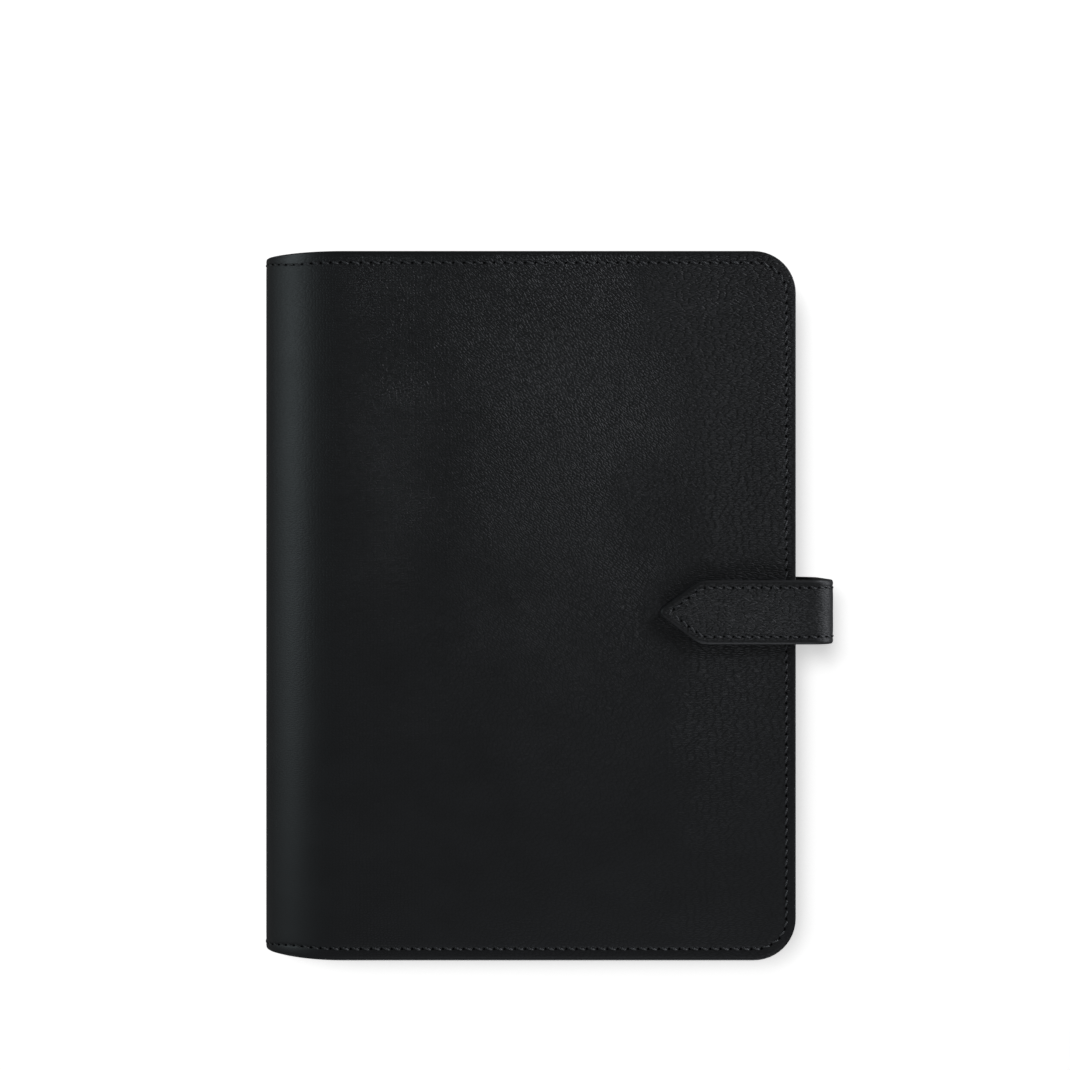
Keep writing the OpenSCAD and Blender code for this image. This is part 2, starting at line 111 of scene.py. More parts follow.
def cover_point(s, v, depth, side):
    """Point at arc length s from the back of the spine, height v and depth under the outer face."""
    if s < ARC_1:
        a = math.pi - s / SPINE_R
        r = SPINE_R - depth
        x = X_LEFT + SPINE_R + r * math.cos(a)
        z = MID_Z + r * math.sin(a)
    elif s < ARC:
        a = math.pi - SHOULDER - (s - ARC_1) / BIG_R
        r = BIG_R - depth
        x = X_LEFT + SPINE_D + r * math.cos(a)
        z = THICK - BIG_R + r * math.sin(a)
    else:
        x = X_LEFT + SPINE_D + s - ARC
        z = THICK - depth
    if side < 0:
        z = THICK - z
    return Vector((x, v, z))


def smooth(t):
    """Eases from 0 to 1 as t goes from 0 to 1."""
    t = max(0.0, min(1.0, t))
    return t * t * (3 - 2 * t)


def steps(a, b, size):
    """Evenly spaced values from a to b, about size apart."""
    n = max(1, round(abs(b - a) / size))
    return [a + (b - a) * i / n for i in range(n + 1)]


def between(a, b, t):
    """The point a share t of the way from a to b."""
    return tuple(p + (q - p) * t for p, q in zip(a, b))


# --- mesh helpers --------------------------------------------------------------


def new_sheet():
    """A bmesh whose points carry rest_pos: (along, across, distance from the edge) on the flat leather."""
    bm = bmesh.new()
    return bm, bm.verts.layers.float_vector.new("rest_pos")


def finish_mesh(name, bm, material, sharp=50):
    """Turns a bmesh into a smooth-shaded object."""
    bmesh.ops.remove_doubles(bm, verts=bm.verts, dist=1e-6)
    bmesh.ops.recalc_face_normals(bm, faces=bm.faces)
    mesh = bpy.data.meshes.new(name)
    limit = math.radians(sharp)
    for e in bm.edges:
        if len(e.link_faces) == 2 and e.calc_face_angle(0) > limit:
            e.smooth = False
    bm.to_mesh(mesh)
    bm.free()
    for p in mesh.polygons:
        p.use_smooth = True
    if "rest_pos" not in mesh.attributes:
        rest = mesh.attributes.new("rest_pos", "FLOAT_VECTOR", "POINT")
        rest.data.foreach_set("vector", [c for vert in mesh.vertices for c in vert.co])
    obj = bpy.data.objects.new(name, mesh)
    bpy.context.scene.collection.objects.link(obj)
    mesh.materials.append(material)
    return obj


def bridge(bm, row_a, row_b, closed=False):
    """Fills the strip between two rows of points; points that coincide make triangles."""
    n = len(row_a)
    for i in range(n if closed else n - 1):
        j = (i + 1) % n
        quad = [row_a[i], row_a[j], row_b[j], row_b[i]]
        unique = list(dict.fromkeys(quad))
        if len(unique) >= 3:
            try:
                bm.faces.new(unique)
            except ValueError:
                pass


INSET_BLEND = 9 * MM
SPINE_GAP = 2.0 * MM
SPINE_GAP_END = 0.6 * ARC
ROUND_END = ARC + 2 * MM
S_COLS = steps(0, ROUND_END, ROUND_GRID)[:-1] + steps(ROUND_END, S_EDGE - CORNER_R, FLAT_GRID)
V_ROWS = steps(HALF_H - CORNER_R, -(HALF_H - CORNER_R), FLAT_GRID)
CORNER_STEPS = 12


def drawn_in(d, gap):
    """Moves the line at inset d towards the edge: the stitch line by gap, the edge itself not at all."""
    if d < STITCH_Y:
        return d - gap * d / STITCH_Y
    return d - gap * (1 - smooth((d - STITCH_Y) / INSET_BLEND))


def edge_inset_x(d):
    """The fore-edge stitch line runs closer to its edge than the head and tail ones."""
    return drawn_in(d, STITCH_Y - STITCH_X)


def spine_inset(s, d):
    """Round the spine the head and tail stitch lines run closer to the edge."""
    return drawn_in(d, SPINE_GAP * (1 - smooth(s / SPINE_GAP_END)))


def cover_outline(d):
    """Points (s, v) of the line that runs at inset d round head, fore-edge and tail."""
    ix, iy = edge_inset_x(d), d
    a, b = CORNER_R - ix, CORNER_R - iy
    sc, vc = S_EDGE - CORNER_R, HALF_H - CORNER_R
    line = [(s, HALF_H - spine_inset(s, iy)) for s in S_COLS]
    for k in range(1, CORNER_STEPS):
        t = math.pi / 2 * (1 - k / CORNER_STEPS)
        line.append((sc + a * math.cos(t), vc + b * math.sin(t)))
    line += [(S_EDGE - ix, v) for v in V_ROWS]
    for k in range(1, CORNER_STEPS):
        t = -math.pi / 2 * k / CORNER_STEPS
        line.append((sc + a * math.cos(t), -vc + b * math.sin(t)))
    line += [(s, spine_inset(s, iy) - HALF_H) for s in reversed(S_COLS)]
    return line


def wave(s, v, seed):
    """Slow rise and fall of padded leather, in metres."""
    a = math.sin(s * 41 + seed) * math.cos(v * 33 + 1.7 * seed)
    b = math.sin(s * 19 - v * 27 + 2.3 * seed)
    c = math.sin(v * 71 + s * 53 + seed * 0.7)
    return (0.09 * a + 0.10 * b + 0.03 * c) * MM


CALM_EDGE = 5 * MM
CALM_BLEND = 14 * MM
CALM_SPINE = 20 * MM


def cover_panel(name, side, rows, top_depth, low_depth, material, wavy=0.0, seed=1.0):
    """A leather sheet over one cover and its half of the spine, closed all round.

    rows lists (inset, depth) from the middle of the outer face, round the edge, to the inner face."""
    bm, rest = new_sheet()

    def place(s, v, depth):
        d = min(S_EDGE - s, HALF_H - abs(v))
        inside = smooth((d - CALM_EDGE) / CALM_BLEND) * smooth((s - ARC) / CALM_SPINE)
        lift = wavy * wave(s, v, seed) * inside
        vert = bm.verts.new(cover_point(s, v, depth - lift, side))
        vert[rest] = (X_LEFT + SPINE_D + s - ARC, v * side, d)
        return vert

    def inner_grid(depth):
        return [[place(s, v, depth) for v in V_ROWS] for s in S_COLS]

    def grid_edge(grid):
        corner_a, corner_b = grid[-1][0], grid[-1][-1]
        line = [col[0] for col in grid]
        line += [corner_a] * (CORNER_STEPS - 1) + grid[-1]
        line += [corner_b] * (CORNER_STEPS - 1) + [col[-1] for col in reversed(grid)]
        return line

    top = inner_grid(top_depth)
    low = inner_grid(low_depth)
    for grid in (top, low):
        for a, b in zip(grid, grid[1:]):
            bridge(bm, a, b)
    loops = [[place(s, v, depth) for s, v in cover_outline(d)] for d, depth in rows]
    chain = [grid_edge(top)] + loops + [grid_edge(low)]
    for a, b in zip(chain, chain[1:]):
        bridge(bm, a, b)
    bridge(bm, top[0], low[0])
    for end in (0, -1):
        ring = list(dict.fromkeys(line[end] for line in chain))
        bm.faces.new(ring)
    return finish_mesh(name, bm, material)


# Sections through the edges, as (inset, depth) in millimetres.
# The skin: outer face, stitch groove, turned edge, back.
SKIN_ROWS = [
    (d * MM, z * MM)
    for d, z in (
        (12.5, 0), (9.5, 0), (7, 0), (5.6, 0.01), (4.9, 0.03), (4.5, 0.07), (4.2, 0.13), (4.0, 0.16),
        (3.8, 0.13), (3.5, 0.07), (3.1, 0.03), (2.4, 0.01), (1.7, 0.01), (1.25, 0.03), (1.02, 0.07),
        (0.9, 0.09), (0.78, 0.08), (0.6, 0.08), (0.38, 0.15), (0.18, 0.33), (0.05, 0.63), (0.0, 1.05),
        (0.0, 1.6), (0.04, 2.05), (0.18, 2.38), (0.45, 2.55), (1.0, 2.58), (8, 2.58),
    )
]
# The lining: hidden side, edge, inner face with its stitch groove.
LINER_ROWS = [
    (d * MM, z * MM)
    for d, z in (
        (12.5, 2.62), (3, 2.62), (1.0, 2.64), (0.84, 2.8), (0.8, 3.1), (0.86, 3.38), (1.05, 3.54), (1.4, 3.6),
        (2.2, 3.6), (3.2, 3.57), (3.7, 3.46), (4.0, 3.36), (4.3, 3.46), (4.8, 3.57), (6, 3.6), (12.5, 3.6),
    )
]

HOLE_SIDES = 8
HOLE_DEPTH = 0.12 * MM
HOLE_STRETCH = 1.25


def needle_holes(bm, frames, pitch, radius, lift):
    """A small dimple between each two stitches, where the thread goes through, filled with painted shade."""
    for centre, along, across, up in frames:
        at = centre + along * (pitch / 2) + up * lift
        ring = []
        for k in range(HOLE_SIDES):
            a = 2 * math.pi * k / HOLE_SIDES
            beside = across * (radius * math.sin(a))
            ring.append(bm.verts.new(at + along * (HOLE_STRETCH * radius * math.cos(a)) + beside))
        low = bm.verts.new(at - up * HOLE_DEPTH)
        for i in range(HOLE_SIDES):
            # Material 1 is the needle holes' painted shade.
            bm.faces.new((ring[i], ring[(i + 1) % HOLE_SIDES], low)).material_index = 1


THREAD_RINGS = 7
THREAD_SIDES = 6
THREAD_TAPER = 0.55
THREAD_DIVE = 1.75
THREAD_FLATNESS = 0.8


def thread_mesh(bm, frames, stitch, slant):
    """Stitches at frames (centre, along, across, up): each a short thread that dives in at both ends."""
    length, radius, rise = stitch
    for centre, along, across, up in frames:
        rings = []
        direction = (along * math.cos(slant) + across * math.sin(slant)).normalized()
        beside = up.cross(direction).normalized()
        for i in range(THREAD_RINGS):
            t = i / (THREAD_RINGS - 1) * 2 - 1
            r = radius * (1 - THREAD_TAPER * abs(t) ** 3)
            h = rise * (1 - t * t * THREAD_DIVE)
            at = centre + direction * (t * length / 2) + up * h
            ring = []
            for k in range(THREAD_SIDES):
                a = 2 * math.pi * k / THREAD_SIDES
                over = up * (r * THREAD_FLATNESS * math.sin(a))
                ring.append(bm.verts.new(at + beside * (r * math.cos(a)) + over))
            rings.append(ring)
        for a, b in zip(rings, rings[1:]):
            bridge(bm, a, b, closed=True)
        bm.faces.new(rings[0])
        bm.faces.new(rings[-1])


def resample(points, pitch):
    """Evenly spaced (point, tangent) pairs along a polyline of tuples."""
    lengths = [0.0]
    for a, b in zip(points, points[1:]):
        lengths.append(lengths[-1] + math.dist(a, b))
    n = max(1, round(lengths[-1] / pitch))
    out, k = [], 0
    for i in range(n):
        want = lengths[-1] * (i + 0.5) / n
        while lengths[k + 1] < want:
            k += 1
        f = (want - lengths[k]) / (lengths[k + 1] - lengths[k])
        a, b = points[k], points[k + 1]
        run = math.dist(a, b)
        out.append((between(a, b, f), tuple((q - p) / run for p, q in zip(a, b))))
    return out


JITTER = 0.06


def surface_frames(line, place, pitch, depth, seed):
    """Stitch frames along a line drawn on a surface; place(s, v, depth) gives its points."""
    rnd = random.Random(seed)
    frames = []
    tiny = 0.2 * MM
    for (s, v), (ds, dv) in resample(line, pitch):
        s += ds * rnd.uniform(-JITTER, JITTER) * MM
        v += dv * rnd.uniform(-JITTER, JITTER) * MM
        here = place(s, v, depth)
        along = (place(s + ds * tiny, v + dv * tiny, depth) - here).normalized()
        up = (place(s, v, depth - tiny) - here).normalized()
        frames.append((here, along, up.cross(along).normalized(), up))
    return frames


# --- materials ------------------------------------------------------------------


class Graph:
    """Small helper for building a node material."""

    def __init__(self, name):
        self.material = bpy.data.materials.new(name)
        self.material.use_nodes = True
        self.tree = self.material.node_tree
        self.shader = self.tree.nodes["Principled BSDF"]

    def node(self, kind, **values):
        """Adds a node; each value sets the input of that name, or else the node's own setting."""
        n = self.tree.nodes.new(kind)
        for key, value in values.items():
            if key in n.inputs:
                n.inputs[key].default_value = value
            else:
                setattr(n, key, value)
        return n

    def link(self, a, b):
        self.tree.links.new(a, b)

    def math(self, op, a, b=None, c=None):
        n = self.node("ShaderNodeMath", operation=op)
        for i, value in enumerate((a, b, c)):
            if value is None:
                continue
            if isinstance(value, (int, float)):
                n.inputs[i].default_value = value
            else:
                self.link(value, n.inputs[i])
        return n.outputs[0]

    def ramp(self, value, lo, hi, out_lo=0.0, out_hi=1.0):
        """Eases from out_lo to out_hi as value goes from lo to hi; hi may be the smaller one."""
        n = self.node("ShaderNodeMapRange", interpolation_type="SMOOTHSTEP")
        n.inputs["From Min"].default_value = lo
        n.inputs["From Max"].default_value = hi
        n.inputs["To Min"].default_value = out_lo
        n.inputs["To Max"].default_value = out_hi
        self.link(value, n.inputs["Value"])
        return n.outputs["Result"]

    def position(self):
        return self.node("ShaderNodeAttribute", attribute_name="rest_pos").outputs["Vector"]

    def scaled(self, vector, scale, turn=(0, 0, 0)):
        n = self.node("ShaderNodeMapping")
        n.inputs["Scale"].default_value = scale
        n.inputs["Rotation"].default_value = turn
        self.link(vector, n.inputs["Vector"])
        return n.outputs["Vector"]

    def oriented(self, vector, turn, stretch):
        """Turns the pattern, then stretches it along its own two directions."""
        n = self.node("ShaderNodeMapping", vector_type="TEXTURE")
        n.inputs["Scale"].default_value = (1 / stretch[0], 1 / stretch[1], 1)
        n.inputs["Rotation"].default_value = (0, 0, turn)
        self.link(vector, n.inputs["Vector"])
        return n.outputs["Vector"]

    def noise(self, vector, scale, detail=2.0, rough=0.5):
        n = self.node("ShaderNodeTexNoise", Scale=scale, Detail=detail, Roughness=rough)
        self.link(vector, n.inputs["Vector"])
        return n.outputs["Fac"]

    def cells(self, vector, scale, randomness=1.0):
        """Distance from the seams between irregular cells."""
        n = self.node("ShaderNodeTexVoronoi", feature="DISTANCE_TO_EDGE", voronoi_dimensions="2D")
        n.inputs["Scale"].default_value = scale
        n.inputs["Randomness"].default_value = randomness
        self.link(vector, n.inputs["Vector"])
        return n.outputs["Distance"]

    def warped(self, vector, scale, amount):
        """Pushes points about by a noise, so that a regular pattern wanders."""
        n = self.node("ShaderNodeTexNoise", Scale=scale, Detail=2.0)
        self.link(vector, n.inputs["Vector"])
        centred = self.node("ShaderNodeVectorMath", operation="SUBTRACT")
        self.link(n.outputs["Color"], centred.inputs[0])
        centred.inputs[1].default_value = (0.5, 0.5, 0.5)
        push = self.node("ShaderNodeVectorMath", operation="SCALE")
        self.link(centred.outputs[0], push.inputs[0])
        push.inputs["Scale"].default_value = amount
        added = self.node("ShaderNodeVectorMath", operation="ADD")
        self.link(vector, added.inputs[0])
        self.link(push.outputs[0], added.inputs[1])
        return added.outputs[0]

    def colour_between(self, factor, dark, light):
        n = self.node("ShaderNodeMix", data_type="RGBA")
        n.inputs[6].default_value = (*dark, 1)
        n.inputs[7].default_value = (*light, 1)
        self.link(factor, n.inputs[0])
        self.link(n.outputs[2], self.shader.inputs["Base Color"])

    def bump(self, height, distance, strength=1.0):
        n = self.node("ShaderNodeBump", Distance=distance, Strength=strength)
        self.link(height, n.inputs["Height"])
        self.link(n.outputs["Normal"], self.shader.inputs["Normal"])


# Grains as (turn, stretch, cells per metre), and how a noise pushes them about (scale, amount).
DRAWN = (0.04, (0.38, 1.4), 1120)
SLANTING = (-0.6, (0.6, 1.15), 1060)
CROSSED = (0.0, (0.8, 1.1), 1100)
WARP = (480, 0.6 * MM)
# Width of a seam between cells, and how far the zones' borders wander.
SEAM = 0.3
DRIFT = 60 * MM
# Heights between which the relief grows, and the stretch over which it fades before a bend.
LOW_GRAIN, HIGH_GRAIN = -120 * MM, 80 * MM
RELAX = 14 * MM
# What a crease adds to the colour (painted shade: darker in the creases) and to roughness, and what polished
# leather adds to roughness.
CREASE_PAINTED_SHADE = -3.2
CREASE_SMOOTHS = -0.1
POLISH_SMOOTHS = -0.85


def grained_leather(name, dark, light, relief, grain=1.0, zones=True, stretched=0.0, rough=0.49):
    """Embossed leather with its grain drawn out across the sheet.

    With zones the grain is crossed near the spine, slanting in the middle and drawn out on the
    spine and towards the fore-edge, and it fades towards the tail. Without zones it fades where
    the leather is stretched round a bend."""
    g = Graph(name)
    p = g.position()
    xyz = g.node("ShaderNodeSeparateXYZ")
    g.link(p, xyz.inputs[0])
    along, up, inset = xyz.outputs["X"], xyz.outputs["Y"], xyz.outputs["Z"]
    warped = g.warped(p, *WARP)

    def mixed(factor, a, b):
        n = g.node("ShaderNodeMix", data_type="FLOAT")
        g.link(factor, n.inputs[0])
        g.link(a, n.inputs[2])
        g.link(b, n.inputs[3])
        return n.outputs[0]

    def grained(turn, stretch, scale, randomness=1.0):
        seams = g.cells(g.oriented(warped, turn, stretch), scale * grain, randomness)
        return g.ramp(seams, 0.0, SEAM)

    def across_cover(value, start, end, out_lo=0.0, out_hi=1.0):
        """A ramp between two places on the leather laid flat, in millimetres from X_LEFT."""
        return g.ramp(value, X_LEFT + start * MM, X_LEFT + end * MM, out_lo, out_hi)

    def times(a, b):
        return g.math("MULTIPLY", a, b)

    drawn = grained(*DRAWN)
    cells = drawn
    if zones:
        drift = g.math("MULTIPLY_ADD", g.noise(p, 30, 2), DRIFT, along)
        slanting = grained(*SLANTING)
        crossed = grained(*CROSSED, randomness=0.7)
        near_spine = mixed(across_cover(drift, 125, 60), slanting, crossed)
        drawn_out = g.math("MAXIMUM", across_cover(drift, 140, 185), across_cover(along, 26, 10))
        cells = mixed(drawn_out, near_spine, drawn)
    folds = g.ramp(g.cells(g.warped(p, 110, 4 * MM), 260 * grain), 0.0, 0.18)
    pores = g.noise(p, 3200, 3, 0.6)
    height = g.math("MULTIPLY_ADD", folds, 0.25, cells)
    height = g.math("MULTIPLY_ADD", pores, 0.25, height)
    height = times(height, g.ramp(g.noise(p, 22, 2), 0.3, 0.7, 0.85, 1.05))
    height = times(height, g.ramp(inset, 0.6 * MM, 2.4 * MM, 0.12, 1.0))
    # Seams between grain cells: they lower the roughness, and they darken the colour as painted shade.
    crease = g.ramp(cells, 0.8, 0.0, 0.0, 0.28)
    if zones:
        height = times(height, g.ramp(up, LOW_GRAIN, HIGH_GRAIN, 0.25, 1.2))
        height = times(height, across_cover(along, 120, 175, 1.0, 0.75))
        height = times(height, across_cover(along, 50, 5, 1.0, 0.17))
        crease = times(crease, g.ramp(up, LOW_GRAIN, HIGH_GRAIN, 0.4, 1.0))
        crease = times(crease, across_cover(along, 40, 5, 1.0, 0.4))
    else:
        height = times(height, g.ramp(along, stretched - RELAX, stretched, 1.0, 0.45))
        crease = times(crease, g.ramp(along, stretched - RELAX, stretched, 1.0, 0.5))
    g.bump(height, relief * MM)

    clouds = g.ramp(g.noise(p, 60, 3), 0.3, 0.7, 0.75, 1.0)
    # Painted shade: the creases are coloured darker, on top of a random cloudy tone.
    tone_and_crease_shade = times(g.math("MULTIPLY_ADD", crease, CREASE_PAINTED_SHADE, 1.0), clouds)
    # The last millimetre or so at the edge is coloured lighter: partly wear, partly a painted highlight on
    # the rounded edge.
    edge_wear_and_highlight = g.ramp(inset, 1.3 * MM, 0.2 * MM, 0.0, 0.4)
    g.colour_between(g.math("MAXIMUM", tone_and_crease_shade, edge_wear_and_highlight), dark, light)

    matt = g.math("MULTIPLY_ADD", g.noise(p, 45, 3), 0.06, rough - 0.03)
    matt = g.math("MULTIPLY_ADD", crease, CREASE_SMOOTHS, matt)
    if zones:
        handled = times(across_cover(drift, 135, 50), g.ramp(up, -60 * MM, 100 * MM, 0.02, 0.1))
        handled = times(handled, across_cover(along, 20, 40))
        pressed = g.ramp(inset, STITCH_Y + 0.4 * MM, STITCH_Y - 1 * MM, 0.0, 0.08)
        polished = g.math("MAXIMUM", handled, pressed)
        matt = g.math("MULTIPLY_ADD", polished, POLISH_SMOOTHS, matt)
    g.link(matt, g.shader.inputs["Roughness"])
    g.shader.inputs["Specular IOR Level"].default_value = 0.34
    return g.material


def smooth_leather(name, dark, light, rough=0.6):
    """Lining and pocket leather: fine, close grain with a few soft scuffs."""
    g = Graph(name)
    p = g.position()
    fine = g.ramp(g.cells(g.warped(p, 400, 0.6 * MM), 1150), 0.0, SEAM)
    scuffs = g.noise(g.scaled(p, (1, 1.6, 1), (0, 0, 0.5)), 45, 4, 0.6)
    g.bump(g.math("MULTIPLY_ADD", g.noise(p, 3000, 2), 0.4, fine), 0.05 * MM)
    g.colour_between(scuffs, dark, light)
    g.link(g.ramp(scuffs, 0.2, 0.8, rough - 0.03, rough + 0.05), g.shader.inputs["Roughness"])
    g.shader.inputs["Specular IOR Level"].default_value = 0.4
    return g.material


def waxed_thread(name):
    """Black thread with its twist showing as slanting bands."""
    g = Graph(name)
    p = g.position()
    twist = g.node("ShaderNodeTexWave", bands_direction="DIAGONAL", Scale=900.0, Distortion=1.5)
    g.link(p, twist.inputs["Vector"])
    g.bump(twist.outputs["Fac"], 0.08 * MM)
    g.colour_between(twist.outputs["Fac"], (0.003, 0.003, 0.003), (0.034, 0.035, 0.038))
    g.link(g.ramp(g.noise(p, 500), 0.2, 0.8, 0.45, 0.65), g.shader.inputs["Roughness"])
    g.shader.inputs["Specular IOR Level"].default_value = 0.45
    return g.material


def plated_metal(name, colour, rough, brushed=False):
    """Polished or brushed metal with fine scratches and faint marks."""
    g = Graph(name)
    p = g.node("ShaderNodeTexCoord").outputs["Object"]
    stretch = (1, 0.06, 1) if brushed else (1, 0.5, 1)
    lines = g.noise(g.scaled(p, stretch), 1400 if brushed else 500, 4, 0.7)
    marks = g.noise(p, 60, 4, 0.6)
    g.colour_between(marks, tuple(c * 0.86 for c in colour), colour)
    g.link(g.math("MULTIPLY_ADD", lines, 0.16, rough - 0.04), g.shader.inputs["Roughness"])
    g.bump(lines, 0.01 * MM, 0.5)
    g.shader.inputs["Metallic"].default_value = 1.0
    return g.material


def needle_hole_shade(name):
    """Painted shade for the inside of a needle hole: near-black and matt, standing in for the shadow in the
    hole.
    """
    g = Graph(name)
    g.colour_between(g.noise(g.position(), 900, 2), (0.0006, 0.0006, 0.0006), (0.0018, 0.0018, 0.0019))
    g.shader.inputs["Roughness"].default_value = 0.95
    g.shader.inputs["Specular IOR Level"].default_value = 0.05
    return g.material


BLACK = (0.0003, 0.0003, 0.0003)
LEATHER = grained_leather("cover_leather", BLACK, (0.0072, 0.0077, 0.0086), relief=0.12)
LINING = smooth_leather("lining_leather", (0.009, 0.009, 0.0095), (0.017, 0.017, 0.018))
POCKET = smooth_leather("pocket_leather", (0.007, 0.007, 0.0075), (0.014, 0.014, 0.015), 0.52)
THREAD = waxed_thread("black_thread")
NICKEL = plated_metal("nickel_plate", (0.8, 0.79, 0.77), 0.14)
STEEL = plated_metal("carrier_steel", (0.62, 0.62, 0.62), 0.3, brushed=True)
SNAP = plated_metal("snap_nickel", (0.66, 0.64, 0.6), 0.24)
# Painted shade for the needle holes.
HOLE_SHADE = needle_hole_shade("needle_hole_shade")

MECHANISM = (
    "ring_housing", "mechanism_rivets", "upper_rings", "lower_rings", "head_trigger", "tail_trigger",
)
CARRIERS = ("upper_carrier", "lower_carrier")
SNAP_PARTS = ("snap_stud", "snap_stud_backing", "snap_socket", "snap_cap")
for node_names, material in ((MECHANISM, NICKEL), (CARRIERS, STEEL), (SNAP_PARTS, SNAP)):
    for node_name in node_names:
        materials = nodes[node_name].data.materials
        if len(materials) == 0:
            materials.append(material)
        for i in range(len(materials)):
            materials[i] = material

# --- covers and spine -------------------------------------------------------------


def fold(piece):
    """Bakes a piece's placement into its mesh."""
    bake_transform(piece)


GROOVE = 0.16 * MM
INNER_GROOVE = 0.18 * MM
INNER_LEAN = math.radians(14)


def cover_thread(name, side):
    """The cover's stitches: a leaning row with needle holes outside and a plainer one inside."""

    def place(s, v, depth):
        return cover_point(s, v, depth, side)

    bm = bmesh.new()
    line = cover_outline(STITCH_Y)
    frames = surface_frames(line, place, STITCH_PITCH, depth=GROOVE, seed=11)
    thread_mesh(bm, frames, COVER_STITCH, -side * STITCH_LEAN)
    needle_holes(bm, frames, STITCH_PITCH, radius=0.34 * MM, lift=0.19 * MM)
    inner = surface_frames(line, place, STITCH_PITCH, depth=LINER_LOW - INNER_GROOVE, seed=12)
    inner = [(centre, along, across, -up) for centre, along, across, up in inner]
    thread_mesh(bm, inner, INNER_STITCH, side * INNER_LEAN)
    thread = finish_mesh(name, bm, THREAD)
    thread.data.materials.append(HOLE_SHADE)
    return thread


for side, label, seed in ((1, "front", 1.0), (-1, "back", 2.0)):
    skin = cover_panel(f"{label}_skin", side, SKIN_ROWS, 0.0, SKIN_T, LEATHER, wavy=1.0, seed=seed)
    liner = cover_panel(f"{label}_liner", side, LINER_ROWS, LINER_TOP, LINER_LOW, LINING)
    thread = cover_thread(f"{label}_thread", side)
    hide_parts(f"{label}_outer_leather", f"{label}_board")
    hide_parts(f"{label}_lining")
    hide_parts(f"{label}_stitching")
    if side > 0:
        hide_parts("spine_outer_leather", "spine_board")
        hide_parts("spine_lining")
        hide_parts("spine_stitching")
    for piece in (skin, liner, thread):
        fold(piece)

# --- strap ------------------------------------------------------------------------

# The strap runs out past the fore-edge, up round LOW_R, and back over the cover round TOP_R.
LOW_R = 12 * MM
TOP_R = 7.5 * MM
STRAP_POINT = 12.8 * MM
DROOP = 0.35 * MM
LOW_C = (STRAP_X - LOW_R, STRAP_BASE + LOW_R)
TOP_C = (STRAP_X - TOP_R, STRAP_TOP - TOP_R)
ROOT_X = X_EDGE - 1.2 * MM
S_LOW = LOW_C[0] - ROOT_X
S_RISE = S_LOW + LOW_R * math.pi / 2
S_TOP = S_RISE + TOP_C[1] - LOW_C[1]
S_FLAT = S_TOP + TOP_R * math.pi / 2
S_TIP = S_FLAT + TOP_C[0] - STRAP_TIP
S_SPLIT = (S_RISE + S_TOP) / 2
STRAP_LEATHER = grained_leather(
    "strap_leather", BLACK, (0.0082, 0.0086, 0.0095), relief=0.15,
    grain=1.12, zones=False, stretched=STRAP_X - S_FLAT,
)


def strap_point(s, v, depth):
    """Point at length s along the strap's outer face, v across it and depth under it."""
    if s < S_LOW:
        x, z = ROOT_X + s, STRAP_BASE + depth
    elif s < S_RISE:
        a = (s - S_LOW) / LOW_R
        x = LOW_C[0] + (LOW_R - depth) * math.sin(a)
        z = LOW_C[1] - (LOW_R - depth) * math.cos(a)
    elif s < S_TOP:
        x, z = STRAP_X - depth, LOW_C[1] + s - S_RISE
    elif s < S_FLAT:
        a = (s - S_TOP) / TOP_R
        x = TOP_C[0] + (TOP_R - depth) * math.cos(a)
        z = TOP_C[1] + (TOP_R - depth) * math.sin(a)
    else:
        droop = DROOP * smooth((s - S_FLAT) / (S_TIP - S_FLAT))
        x, z = TOP_C[0] - (s - S_FLAT), STRAP_TOP - depth - droop
    return Vector((x, STRAP_Y + v, z))


# The point's two straight sides would meet NOSE_OUT beyond the strap's real, rounded tip.
NOSE_OUT = 1.4 * MM
NOSE_MIN = 0.15 * MM
NOSE_SLANT = math.atan2(STRAP_HALF_W, STRAP_POINT + NOSE_OUT)
NOSE_R = NOSE_OUT / (1 / math.sin(NOSE_SLANT) - 1)
STRAP_STEP = 1.0 * MM
# The stretch before the tip whose points shift with the inset, so that the rings stay even.
FREE_END = 34 * MM
SHOULDER_BEND = 2.4 * MM
SHOULDER_STEPS = 5
SIDE_STEPS = 8
NOSE_STEPS = 4


def strap_side_line(d, s0, s1, pointed):
    """Half outline (s, v) at inset d, from s0 to the strap's middle line at its tip or its cut end."""
    half_w = STRAP_HALF_W - d
    if not pointed:
        return [(s, half_w) for s in steps(s0, s1, STRAP_STEP)]
    slant = NOSE_SLANT
    tip = S_TIP + NOSE_OUT - d / math.sin(slant)
    shoulder = tip - half_w / math.tan(slant)
    free = S_TIP - FREE_END
    full = S_TIP - STRAP_POINT
    line = []
    for s in steps(s0, full, STRAP_STEP):
        if s > free:
            s = free + (s - free) * (shoulder - free) / (full - free)
        line.append((s, half_w))
    bend = min(SHOULDER_BEND, 0.35 * half_w)
    line = line[:-3]  # leaves room for the rounded shoulder
    before, corner = (shoulder - bend, half_w), (shoulder, half_w)
    after = (shoulder + bend * math.cos(slant), half_w - bend * math.sin(slant))
    for k in range(SHOULDER_STEPS + 1):
        t = k / SHOULDER_STEPS
        line.append(between(between(before, corner, t), between(corner, after, t), t))
    nose = max(NOSE_R - d, NOSE_MIN)
    centre = tip - nose / math.sin(slant)
    on_side = (centre + nose * math.sin(slant), nose * math.cos(slant))
    line += [between(after, on_side, k / SIDE_STEPS) for k in range(1, SIDE_STEPS)]
    for k in range(NOSE_STEPS + 1):
        turn = (math.pi / 2 - slant) * (1 - k / NOSE_STEPS)
        line.append((centre + nose * math.cos(turn), nose * math.sin(turn)))
    return line


